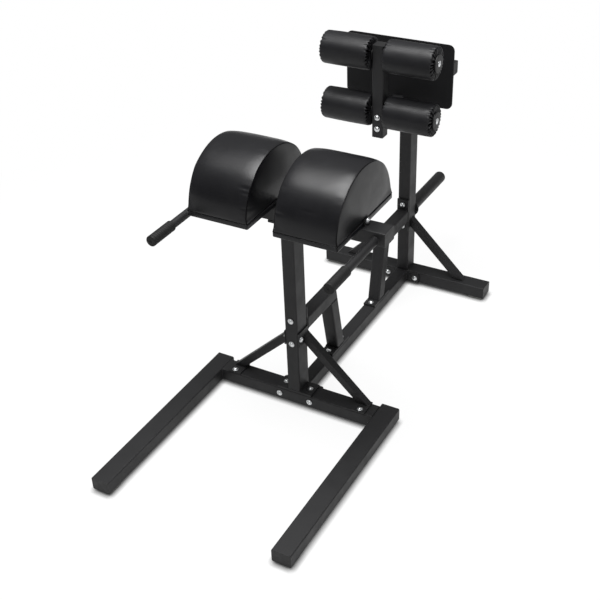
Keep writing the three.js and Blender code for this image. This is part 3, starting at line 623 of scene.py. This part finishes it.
@dataclass
class Cushion:
    """A half-round thigh pad: foam on a board under leatherette, with a sunk seam round each side, drawn dark
    as painted shade.
    """

    side: Side
    finishes: Finishes
    crown: float = 5.0
    bulge: float = 5.0
    fade: int = 5
    square_share: float = 0.91
    foot_rise: float = 0.35
    flare_rise: float = 0.12
    flare_share: float = 0.84
    puff: float = 3.0
    puff_frames: int = 20
    seam: float = 1.7
    seam_depth: float = 1.9
    crease_width: float = 3.2
    edge_reach: float = 40.0
    tuck_height: float = 5.0
    tuck_shares: tuple[float, float] = (0.006, 0.01)

    @cached_property
    def room(self) -> Room:
        """The box of the plain solid."""
        return Room.of(f"pad_{self.side.word}")

    @cached_property
    def half(self) -> Vector:
        """Half the length, half the width between the seams, and the height at the seams."""
        size = self.room.size
        return Vector((size.x / 2 - self.crown, size.y / 2 - self.bulge, size.z - self.crown))

    def arch(self, angle: float, out: float = 0.0) -> Vector:
        """A point of the half-round outline at the seams.

        Args:
            angle: Round the outline, from 0 at the rear to pi at the front.
            out: How far outside the outline the point lies.

        Returns:
            Its place along X and Z.
        """
        half = self.half
        sine = max(math.sin(angle), 0.0)
        reach = half.x + self.foot(sine) + out
        return Vector((reach * math.cos(angle), 0.0, (half.z + out) * sine**self.square_share))

    def foot(self, rise: float) -> float:
        """How far the outline at the seams spreads towards the board's ends, at a share of the height."""
        return self.crown * max(0.0, 1 - rise / self.foot_rise) ** 2

    def flare(self, rise: float) -> float:
        """How far the sides spread towards the board's edges, at a share of the height."""
        return self.flare_share * self.bulge * max(0.0, 1 - rise / self.flare_rise) ** 2

    def shaped(self, u: float, w: float, v: float) -> Vector:
        """Maps a point of the unit block to the half-round form.

        Args:
            u: Along the length, from -1 to 1.
            w: Across the width, from -1 to 1.
            v: Upwards, from 0 to 1.

        Returns:
            Its place in millimetres about the pad's own seat.
        """
        across, rise = u * math.sqrt(1 - v * v / 2), v * math.sqrt(1 - u * u / 2)
        half = self.half
        reach = math.hypot(across, rise)
        foot = self.foot(rise / max(reach, 0.001)) * reach
        swell = max(foot, self.crown * (1 - abs(w) ** self.fade) * reach)
        level = (half.z + swell * min(1.0, 4 * rise)) * rise**self.square_share
        inner = max(abs(u), v)
        belly = self.bulge * (1 - inner**self.fade) * (1 - (1 - v) ** self.fade)
        return Vector(((half.x + swell) * across, w * (half.y + belly + self.flare(rise)), level))

    def shell(self) -> tuple[BMesh, list[int]]:
        """Builds the closed form before it is puffed.

        Returns:
            The mesh in millimetres about the pad's own seat, and the numbers of the seam vertices.
        """
        bm = bmesh.new()
        bmesh.ops.create_cube(bm, size=2.0)
        for direction, cuts in enumerate((61, 33, 31)):
            runs = {e: e.verts[0].co - e.verts[1].co for e in bm.edges}
            along = [e for e, run in runs.items() if abs(run.normalized()[direction]) > 0.9]
            bmesh.ops.subdivide_edges(bm, edges=along, cuts=cuts, use_grid_fill=True)
        bm.verts.ensure_lookup_table()
        seams: list[int] = []
        for vert in bm.verts:
            u, w, v = vert.co.x, vert.co.y, (vert.co.z + 1) / 2
            edge = abs(w) > 0.999 and (abs(u) > 0.999 or v > 0.999)
            if v < 0.001 or edge:
                seams.append(vert.index)
            vert.co = self.shaped(u, w, v)
        return bm, seams

    def puffed(self, piece: Object, seams: list[int]) -> None:
        """Inflates the panels between the seams with cloth under pressure, and caps how far they go.

        Args:
            piece: The cushion, in metres.
            seams: Vertices that are sewn or stapled down.
        """
        rest = np.array([v.co for v in piece.data.vertices])
        group = piece.vertex_groups.new(name="seams")
        group.add(seams, 1.0, "REPLACE")
        cloth = piece.modifiers.new("Leatherette", "CLOTH")
        cloth.settings.vertex_group_mass = group.name
        cloth.settings.use_pressure = True
        for setting, value in LEATHERETTE_CLOTH.items():
            setattr(cloth.settings, setting, value)
        cloth.settings.effector_weights.gravity = 0.0
        cloth.collision_settings.use_collision = False
        scene = bpy.context.scene
        for step in range(1, self.puff_frames + 1):
            scene.frame_set(step)
        evaluated = piece.evaluated_get(bpy.context.evaluated_depsgraph_get())
        moved = np.array([v.co for v in evaluated.data.vertices]) - rest
        piece.modifiers.remove(cloth)
        scene.frame_set(1)
        reach = float(np.linalg.norm(moved, axis=1).max())
        share = min(1.0, self.puff * MM / max(reach, 1e-9))
        for vert, old, move in zip(piece.data.vertices, rest, moved):
            vert.co = Vector(old + move * share)
        piece.vertex_groups.remove(group)
        log.info("%s: cloth reached %.1f mm, kept %.2f of it", piece.name, reach / MM, share)

    def pulls(self) -> list[tuple[float, float, float, float]]:
        """Lists the short creases: angle on the arch, place along the width, reach and depth in mm."""
        half = self.half.y
        if self.side is Side.LEFT:
            return [(2.52, -half + 16, 26, 2.6), (2.60, -half + 12, 20, 1.8), (2.86, -half + 8, 15, 1.4)]
        return [(2.66, -6.0, 34, 1.3), (2.80, half - 12, 22, 1.2), (2.35, half - 10, 15, 1.0)]

    def creased(self, piece: Object) -> None:
        """Adds the slow waves of the foam and the shallow pulls that leatherette shows along its seams.

        Args:
            piece: The cushion, in metres, about its own seat.
        """
        half = self.half
        seed = Vector((11.3 if self.side is Side.LEFT else 4.7, 2.9, 7.1))
        normals = [v.normal.copy() for v in piece.data.vertices]
        for vert, normal in zip(piece.data.vertices, normals):
            here = vert.co / MM
            if here.z < 2 * self.tuck_height:
                continue
            angle = math.atan2(here.z / half.z, here.x / half.x)
            panel = min(1.0, max(0.0, (half.y - 0.5 - abs(here.y)) / 6))
            edge = panel * max(0.0, 1 - (half.y - abs(here.y)) / self.edge_reach)
            pull = noise.noise(Vector((angle * 11, here.y * 0.006, 0.0)) + seed)
            move = pull * edge * 0.7 + noise.noise(here * 0.011 + seed) * 0.9
            for where, middle, reach, depth in self.pulls():
                across = (angle - where) * half.x / self.crease_width
                along = (here.y - middle) / reach
                move -= depth * math.exp(-across * across) * math.exp(-along * along * 2)
            vert.co += normal * (move * MM)

    def tuck(self, piece: Object) -> None:
        """Draws the lowest edge of the cover in, where it is stapled between foam and board.

        Args:
            piece: The cushion, in metres, about its own seat.
        """
        length_share, width_share = self.tuck_shares
        for vert in piece.data.vertices:
            low = max(0.0, 1 - vert.co.z / (self.tuck_height * MM))
            if low > 0:
                vert.co.x *= 1 - length_share * low
                vert.co.y *= 1 - width_share * low

    def seams(self) -> Object:
        """Builds the seams as painted shade: a near-black cord sunk along the arch of both sides, and a
        near-black sheet round the board under the cushion's tucked edge.

        Returns:
            The piece.
        """
        bm = bmesh.new()
        half = self.half
        for w in (-1, 1):
            # A near-black cord in each sunk seam: painted shade along the seam
            cord = bmesh.new()
            bmesh.ops.create_circle(cord, segments=8, radius=self.seam)
            bmesh.ops.translate(cord, vec=(half.x, 0, 0), verts=cord.verts)
            turn = {"cent": ORIGIN, "axis": (0, -1, 0), "dvec": ORIGIN, "angle": math.pi, "steps": 96}
            bmesh.ops.spin(cord, geom=cord.verts[:] + cord.edges[:], use_duplicate=False, **turn)
            for vert in cord.verts:
                out = math.hypot(vert.co.x, vert.co.z) - half.x - self.seam_depth
                angle = math.atan2(vert.co.z, vert.co.x)
                spread_y = half.y - 1.4 + self.flare(max(0.0, math.sin(angle)))
                vert.co = self.arch(angle, out) + Vector((0, vert.co.y + w * spread_y, 0))
            bmesh.ops.holes_fill(cord, edges=[e for e in cord.edges if e.is_boundary], sides=0)
            poured(bm, cord)
        # A near-black sheet at the cushion's foot: painted shade where the cover is tucked onto the board
        seam_shade_sheet = bmesh.new()
        bmesh.ops.create_cube(seam_shade_sheet, size=1.0)
        bmesh.ops.scale(seam_shade_sheet, vec=(2 * half.x - 1.5, 2 * half.y - 1.5, 1.8), verts=seam_shade_sheet.verts)
        bmesh.ops.translate(seam_shade_sheet, vec=(0, 0, 0.5), verts=seam_shade_sheet.verts)
        poured(bm, seam_shade_sheet)
        bmesh.ops.translate(bm, verts=bm.verts, vec=self.room.seat)
        return finish_mesh(f"pad_seams_{self.side.word}", bm, self.finishes["seam_thread"], 60)

    def build(self) -> None:
        """Builds the cushion and its near-black seams of painted shade, and lets the cushion stand for the
        plain solid.
        """
        bm, seams = self.shell()
        piece = finish_mesh(f"cushion_{self.side.word}", bm, self.finishes["pad_leatherette"], 60)
        self.puffed(piece, seams)
        self.creased(piece)
        self.tuck(piece)
        piece.data.transform(Matrix.Translation(self.room.seat * MM))
        subdivision = piece.modifiers.new("Soft skin", "SUBSURF")
        subdivision.levels = subdivision.render_levels = 1
        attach(piece, "frame")
        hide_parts(f"pad_{self.side.word}")
        cords = self.seams()
        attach(cords, "frame")
        log.info("cushion %s: %d faces", self.side.word, len(piece.data.polygons))


def wrapped_board(side: Side, finishes: Finishes) -> None:
    """Builds the board under a pad, wrapped in the pad's leatherette, with softened edges.

    Args:
        side: The pad's side.
        finishes: The materials.
    """
    room = Room.of(f"pad_board_{side.word}")
    bm = bmesh.new()
    bmesh.ops.create_cube(bm, size=1.0)
    bmesh.ops.scale(bm, vec=room.size, verts=bm.verts)
    common = {"profile": 0.5, "affect": "EDGES", "material": -1}
    upright = [e for e in bm.edges if abs(e.verts[0].co.z - e.verts[1].co.z) > 1]
    bmesh.ops.bevel(bm, geom=upright, offset=6.0, segments=5, **common)
    level = [e for e in bm.edges if abs(e.verts[0].co.z - e.verts[1].co.z) < 0.1]
    rim = [e for e in level if len(e.link_faces) == 2 and e.calc_face_angle(0) > 1]
    bmesh.ops.bevel(bm, geom=rim, offset=2.5, segments=3, **common)
    bmesh.ops.translate(bm, verts=bm.verts, vec=room.middle)
    piece = finish_mesh(f"wrapped_board_{side.word}", bm, finishes["pad_board"], 40)
    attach(piece, "frame")
    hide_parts(f"pad_board_{side.word}")


@dataclass
class Roller:
    """One ankle roller: a foam sleeve in gathered leatherette on a flanged bush."""

    side: Side
    finishes: Finishes
    level: str
    radius: float = 61.0
    inner: float = 28.5
    outer: float = 222.5
    bore: float = 14.0
    disc: float = 33.5
    ring_spacing: float = 5.0
    pleats: int = 25
    pleat_run: float = 11.0
    pulled_run: float = 16.0
    end_depth: float = 14.0
    sleeve_depth: float = 2.6
    swell: float = 1.2

    @property
    def word(self) -> str:
        """The roller's level and side in node names."""
        return f"{self.level}_{self.side.word}"

    @property
    def centre(self) -> Vector:
        """Where the axle crosses the machine's middle plane."""
        middle = Room.of(f"roller_{self.word}").middle
        return Vector((middle.x, 0, middle.z))

    def outline(self) -> Profile:
        """Draws the sleeve's section, with close points all along it.

        Returns:
            Radius and place along the axle of each point.
        """
        low, high = self.inner, self.outer
        corners = [(self.bore, high - 1.0, 0), (self.disc, high - 0.2, 4), (self.radius, high - 1.2, 8)]
        corners += [(self.radius, low - 0.3, 10), (self.disc - 8, low + 1.0, 4), (self.bore, low + 1.5, 0)]
        points = rounded(corners, 8)
        profile = [points[0]]
        for (r0, a0), (r1, a1) in zip(points, points[1:]):
            rings = max(1, math.ceil(math.hypot(r1 - r0, a1 - a0) / self.ring_spacing))
            for k in range(1, rings + 1):
                profile.append((r0 + (r1 - r0) * k / rings, a0 + (a1 - a0) * k / rings))
        return profile + profile[:1]

    def gather(self, verts: Iterable[BMVert]) -> None:
        """Draws the cover into sharp pleats at its ends, and lets it swell and slacken between them.

        Args:
            verts: The sleeve's vertices, about the axle along Z.
        """
        rng = random.Random(f"{self.level}{self.side.word}")
        phases = [rng.uniform(0, math.tau) for _ in range(4)]
        seed = Vector([rng.uniform(0, 50) for _ in range(3)])
        for vert in verts:
            radius = math.hypot(vert.co.x, vert.co.y)
            if radius < self.bore + 2:
                continue
            angle = math.atan2(vert.co.y, vert.co.x)
            reach = max(0.0, min(vert.co.z - self.inner, self.outer - vert.co.z))
            run = self.pleat_run + self.pulled_run * max(0.0, math.sin(2 * angle + phases[3])) ** 8
            end = max(0.0, 1 - reach / run)
            flat = min(1.0, max(0.0, (self.radius - radius) / 7))
            hub = min(1.0, max(0.0, (radius - self.disc + 9) / 8))
            wander = 0.6 * math.sin(3 * angle + phases[0]) + 0.5 * math.sin(7 * angle + phases[1])
            wave = abs(math.sin(self.pleats * angle / 2 + wander + phases[2]))
            depth = 0.7 + 0.3 * math.sin(5 * angle + phases[3])
            groove = min(1.0, max(0.0, (0.85 - wave) / 0.45)) * depth
            crown = self.swell * math.sin(math.pi * (vert.co.z - self.inner) / (self.outer - self.inner))
            slack = noise.noise(Vector((vert.co.x, vert.co.y, vert.co.z * 0.6)) * 0.022 + seed)
            shrink = -self.swell + crown + slack * (1 - end) - self.sleeve_depth * groove * end * (1 - flat)
            vert.co.x *= (radius + shrink * hub) / radius
            vert.co.y *= (radius + shrink * hub) / radius
            inward = -1 if vert.co.z > (self.inner + self.outer) / 2 else 1
            vert.co.z += inward * self.end_depth * groove * hub * flat

    def sleeve(self) -> Object:
        """Builds the covered foam with its pleated ends.

        Returns:
            The piece.
        """
        bm = bmesh.new()
        verts = turned(bm, self.outline(), ORIGIN, Axis.Z_UP, steps=300)
        self.gather(verts)
        place = Matrix.Translation(self.centre) @ Axis.outward(self.side).turn
        bmesh.ops.transform(bm, matrix=place, verts=bm.verts)
        return finish_mesh(f"roller_cover_{self.word}", bm, self.finishes["roller_vinyl"], 80)

    def hub(self) -> Object:
        """Builds the bush: an inner flange, a tube under the foam and the flat outer disc.

        Returns:
            The piece.
        """
        bm = bmesh.new()
        bore, tube, flange, disc = 10.3, 13.3, 24.0, self.disc
        start, face = 24.0, self.outer + 0.3
        shoulder, top = start + 3.0, face + 5.0
        corners = [(bore, start, 0), (flange, start, 0.8), (flange, shoulder, 0.8), (tube, shoulder, 0)]
        corners += [(tube, face, 0), (disc, face, 0.8), (disc, top, 1.8), (bore, top, 0), (bore, start, 0)]
        turned(bm, rounded(corners, 3), self.centre, Axis.outward(self.side), steps=64)
        return finish_mesh(f"roller_hub_{self.word}", bm, self.finishes["black_plastic"])

    def build(self) -> None:
        """Builds the roller and lets it stand for the plain sleeve and bush."""
        sleeve, hub = self.sleeve(), self.hub()
        for piece in (sleeve, hub):
            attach(piece, f"roller_unit_{self.word}")
        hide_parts(f"roller_{self.word}")
        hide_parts(f"roller_bush_{self.word}")
        log.info("roller %s: %d faces", self.word, len(sleeve.data.polygons))


@dataclass
class TurnedSet:
    """Round pieces whose plain solids are coarse: handles, grips, axles, peg, peg cap and pull pin."""

    finishes: Finishes

    def piece(
        self, node: str, body: str, slot: str, corners: list[Point], place: Point, axis: Axis, steps: int = 56
    ) -> None:
        """Builds one turned piece over its node.

        Args:
            node: The CAD node that it stands for.
            body: The body that it rides on.
            slot: The record's material slot, which names its finish too.
            corners: Radius, place along the axis and fillet of each corner of its profile.
            place: Where the profile's zero lies.
            axis: The way that the profile grows.
            steps: Facets round the axis.
        """
        bm = bmesh.new()
        turned(bm, rounded(corners), place, axis, steps)
        made = finish_mesh(f"fine_{node}", bm, self.finishes[slot])
        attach(made, body)
        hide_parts(node)

    def handles(self) -> None:
        """Builds both handles and their ribbed grips, which point forwards from the crossbar."""
        bar, tip, start, end = HANDLE_RADIUS, 307.2, 196, 310.5
        lining, sleeve, rib, collar = bar + 0.3, 18.4, 18.8, 19
        ribs, pitch = 10, 9.2
        shaft = [(0, 0, 0), (bar, 0, 0), (bar, tip, 1), (0, tip, 0)]
        grip = [(lining, start, 0), (18, start, 0.8), (collar, start + 2, 1.2)]
        grip += [(collar, start + 6, 1), (sleeve, start + 7.5, 0.8)]
        for k in range(ribs):
            foot = start + 9.5 + k * pitch
            grip += [(sleeve, foot, 0.4), (rib, foot + 1.2, 0.6)]
            grip += [(rib, foot + 5.6, 0.6), (sleeve, foot + 6.8, 0.4)]
        grip += [(sleeve, 299, 0.8), (collar, 300.5, 1), (collar, end, 3.2), (4.5, end, 0.5)]
        grip += [(4, 308.9, 0.3), (0, 308.9, 0), (0, 307.5, 0), (lining, 307.5, 0), (lining, start, 0)]
        for side in Side:
            root = handle_root(side)
            self.piece(f"handle_{side.word}", "frame", "frame_coat", shaft, root, Axis.X_DOWN)
            self.piece(f"grip_{side.word}", "frame", "grip_rubber", grip, root, Axis.X_DOWN)

    def axles(self) -> None:
        """Builds both axles, each with a washer and a dome at its two ends."""
        shaft, washer, head, dimple = 10.0, 10.8, 8.5, 2.2
        seat, rise = 228.1, 2.4
        face = seat + 1.2
        half = [(shaft, seat, 0), (washer, seat, 0.2), (washer, face, 0.4), (head, face, 0.2)]
        quarter = [k / 12 * math.pi for k in range(1, 6)]
        dome = [(head * math.cos(a), face + rise * math.sin(a), 0) for a in quarter]
        upper = half + dome + [(dimple, seat + 3.5, 0), (dimple - 0.2, seat + 2.4, 0), (0, seat + 2.2, 0)]
        lower = [(r, -a, f) for r, a, f in reversed(upper)]
        for node in ("axle_upper", "axle_lower"):
            place = Room.of(node).middle
            self.piece(node, "foot_carriage", "zinc_fastener", lower + upper, place, Axis.Y_UP, steps=40)

    def peg(self) -> None:
        """Builds the storage peg on its flange, and the rounded cap in its end."""
        flange, radius, bore, start, tip = 36, PEG_RADIUS, 22, PEG_FLANGE, 315.5
        shell = [(0, 0, 0), (flange, 0, 0), (flange, start, 1.5), (radius, start, 0)]
        shell += [(radius, tip, 0.6), (bore, tip, 0.4), (bore, start, 0), (0, start, 0)]
        self.piece("storage_peg", "frame", "frame_coat", shell, peg_root(), Axis.X_UP)
        plug, seat, dome, rise = bore - 0.3, 315.8, 317.5, 13.5
        cap = [(0, 301.5, 0), (plug, 301.5, 0.5), (plug, seat, 0), (radius, seat, 0.6)]
        quarter = [k / 18 * math.pi for k in range(10)]
        cap += [(radius * math.cos(a), dome + rise * math.sin(a), 0) for a in quarter]
        self.piece("storage_peg_cap", "frame", "black_plastic", cap, peg_root(), Axis.X_UP)

    def pin(self) -> None:
        """Builds the pull pin with its waisted knob."""
        tip, stem, collar, knob = 5, 3.5, 7.5, 16
        low, step, grip = 879.3, 883.9, 917.9
        corners = [(0, low, 0), (tip, low, 1.0), (tip, step, 0), (collar, step, 0.5), (collar, step + 4, 0.5)]
        corners += [(stem, step + 4, 0), (stem, grip, 0), (11, grip, 1.2), (9.9, grip + 15, 6)]
        corners += [(knob, grip + 22, 3), (knob, grip + 30, 4), (9, grip + 34, 3), (0, grip + 34, 0)]
        self.piece("pull_pin", "pull_pin_unit", "black_plastic", corners, at(961.5, 0, 0), Axis.Z_UP)

    def build(self) -> None:
        """Builds every turned piece."""
        self.handles()
        self.axles()
        self.peg()
        self.pin()
        log.info("turned pieces built")


@dataclass
class FrameDress:
    """Puts the finishes on the CAD nodes that stay, and adds the bolt heads and weld beads."""

    finishes: Finishes

    def paint(self) -> None:
        """Gives each node the finish of its material slot, and the foot plate its own coat."""
        slots = {part["node"]: part["material_slot"] for part in frame["record"]["subparts"]}
        for node, piece in frame["nodes"].items():
            slot = "foot_plate_and_bead_shade_coat" if node == "foot_plate" else slots[node]
            piece.data.materials.clear()
            piece.data.materials.append(self.finishes[slot])

    def seats(self) -> list[tuple[Point, Axis]]:
        """Lists the seat and direction of every bolt head of the fixed frame."""
        # Beam's end flanges, then the stub tubes' flanges through the uprights
        found = [(at(x, y, 33), Axis.X_DOWN) for y in (-62.5, 62.5) for x in (-35, 908.5)]
        found += [(at(x, 0, z), Axis.X_DOWN) for z in (373.5, 275.5) for x in (-35.3, 908.2)]
        # On each side: the front upright's two flanges, the crossbar's tab, and the front brace's two plates
        for side in Side:
            sign, out = side.value, Axis.outward(side)
            found.append((at(0, sign * 50, 66.5), Axis.Z_UP))
            found.append((at(0, sign * 56.5, 754.5), Axis.Z_DOWN))
            found.append((at(0, sign * 280.55, 826), out))
            found.append((at(-21, sign * 30, 295), out))
            found.append((at(-21, sign * 262, 64.5), Axis.Z_UP))
        # Foot flanges of the stub legs
        return found + [(at(x, 0, 67.5), Axis.Z_UP) for x in (240.5, 340, 611.5, 711)]

    def build(self) -> None:
        """Dresses the frame with its coats, bolts and weld beads."""
        self.paint()
        bolt_heads(self.finishes, "frame_bolt_heads", "frame", self.seats())
        post = [(at(656.2, 0, z), Axis.X_DOWN) for z in (817, 863)]
        bolt_heads(self.finishes, "post_bolt_heads", "foot_carriage", post)
        WeldBeads(self.finishes).build()
        log.info("frame dressed")


@dataclass
class Studio:
    """The pale floor, the soft light and the camera, in metres."""

    place: Point = (-2.91094, -1.55903, 2.46016)
    turn_deg: Point = (55.8643, 2.3306, -60.4182)
    lens_mm: float = 62.888
    shift: tuple[float, float] = (0.018504, 0.019633)
    aim: Point = (0.0, 0.0, 0.6)
    paper_share: float = 0.1
    paper_fades: tuple[float, float] = (1.1, 2.4)
    contact_power: float = 2.0
    sky: tuple[float, float] = (0.14, 0.5)
    sky_rise: tuple[float, float] = (0.1, 0.9)

    def camera(self) -> None:
        """Sets the camera on the photograph's view."""
        data = bpy.data.cameras.new("view")
        data.lens = self.lens_mm
        data.sensor_width = 36.0
        data.shift_x, data.shift_y = self.shift
        data.clip_end = 100.0
        data.dof.use_dof = False
        camera = placed("view", data)
        camera.location = self.place
        camera.rotation_euler = [math.radians(a) for a in self.turn_deg]
        bpy.context.scene.camera = camera

    def lamp(self, name: str, place: Point, size: float, radiance: float) -> None:
        """Adds a square soft lamp that faces the machine.

        Args:
            name: The lamp's name.
            place: Where it hangs, in metres.
            size: Its side, in metres.
            radiance: How bright its face is, where a white sheet in full light is 1.
        """
        data = bpy.data.lights.new(name, "AREA")
        data.shape = "SQUARE"
        data.size = size
        data.energy = radiance * math.pi * size * size
        lamp = placed(name, data)
        lamp.location = place
        lamp.rotation_euler = (Vector(self.aim) - Vector(place)).to_track_quat("-Z", "Y").to_euler()

    def paper(self) -> Material:
        """Builds the floor's white paper: near the machine it shows a little real shadow and a painted
        contact shadow, and further out it is white.

        Returns:
            The material.
        """
        material = bpy.data.materials.new("white_studio_paper")
        tree = bare_tree(material)
        place = add_node(tree, "TexCoord").outputs["Object"]
        reach = add_node(tree, "VectorMath", {0: place}, operation="LENGTH").outputs["Value"]
        ends = dict(zip(RANGE, (*self.paper_fades, 1 - self.paper_share, 1.0)))
        lit = add_node(tree, "MapRange", {"Value": reach, **ends}).outputs["Result"]
        rays = add_node(tree, "LightPath").outputs
        either = {0: rays["Is Camera Ray"], 1: rays["Is Glossy Ray"]}
        seen = add_node(tree, "Math", either, operation="MAXIMUM").outputs[0]
        shown = add_node(tree, "Math", {0: seen, 1: lit}, operation="MULTIPLY").outputs[0]
        # Painted contact shadow: the white glow is darkened by ambient occlusion close to the machine
        painted_contact_shade = add_node(tree, "AmbientOcclusion", {"Distance": 0.022}, samples=8).outputs["AO"]
        painted_shade_glow_strength = add_node(tree, "Math", {0: painted_contact_shade, 1: self.contact_power}, operation="POWER").outputs[0]
        paper = add_node(tree, "BsdfDiffuse", {"Color": linear("#f2f2f2")}).outputs[0]
        glow = add_node(tree, "Emission", {"Color": linear("#ffffff"), "Strength": painted_shade_glow_strength}).outputs[0]
        mix = add_node(tree, "MixShader", {0: shown, 1: paper, 2: glow}).outputs[0]
        add_node(tree, "OutputMaterial", {"Surface": mix})
        return material

    def floor(self) -> None:
        """Lays the paper floor."""
        bm = bmesh.new()
        bmesh.ops.create_grid(bm, x_segments=2, y_segments=2, size=14.0)
        mesh = bpy.data.meshes.new("studio_floor")
        bm.to_mesh(mesh)
        bm.free()
        mesh.materials.append(self.paper())
        placed("studio_floor", mesh)

    def air(self) -> None:
        """Sets a white surround that is dim near the horizon and bright overhead."""
        world = bpy.data.worlds.new("white_surround")
        tree = bare_tree(world)
        place = add_node(tree, "TexCoord").outputs["Generated"]
        rise = add_node(tree, "SeparateXYZ", {0: place}).outputs["Z"]
        ends = dict(zip(RANGE, (*self.sky_rise, *self.sky)))
        level = add_node(tree, "MapRange", {"Value": rise, **ends}).outputs["Result"]
        rays = add_node(tree, "LightPath").outputs
        either = {0: rays["Is Camera Ray"], 1: rays["Is Transmission Ray"]}
        seen = add_node(tree, "Math", either, operation="MAXIMUM").outputs[0]
        white = linear("#ffffff")
        soft = add_node(tree, "Background", {"Color": white, "Strength": level}).outputs[0]
        plain = add_node(tree, "Background", {"Color": white, "Strength": 1.0}).outputs[0]
        mix = add_node(tree, "MixShader", {0: seen, 1: soft, 2: plain}).outputs[0]
        add_node(tree, "OutputWorld", {"Surface": mix})
        bpy.context.scene.world = world

    def build(self) -> None:
        """Sets up the whole studio."""
        self.camera()
        self.floor()
        self.air()
        self.lamp("overhead", (-0.5, 0.15, 4.4), size=2.5, radiance=14.5)
        self.lamp("right", (-0.8, -4.4, 1.5), size=1.6, radiance=1.5)
        bpy.context.scene.view_settings.view_transform = "Standard"
        log.info("studio set")


def main() -> None:
    """Builds the machine's pieces in order."""
    logging.basicConfig(level=logging.INFO, format="%(message)s")
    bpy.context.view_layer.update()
    Studio().build()
    finishes = {slot: finish.build() for slot, finish in FINISHES.items()}
    finishes["pad_board"] = finishes["pad_leatherette"]
    FrameDress(finishes).build()
    TurnedSet(finishes).build()
    for side in Side:
        wrapped_board(side, finishes)
        Cushion(side, finishes).build()
        for level in ("upper", "lower"):
            Roller(side, finishes, level).build()


if __name__ == "__main__":
    main()
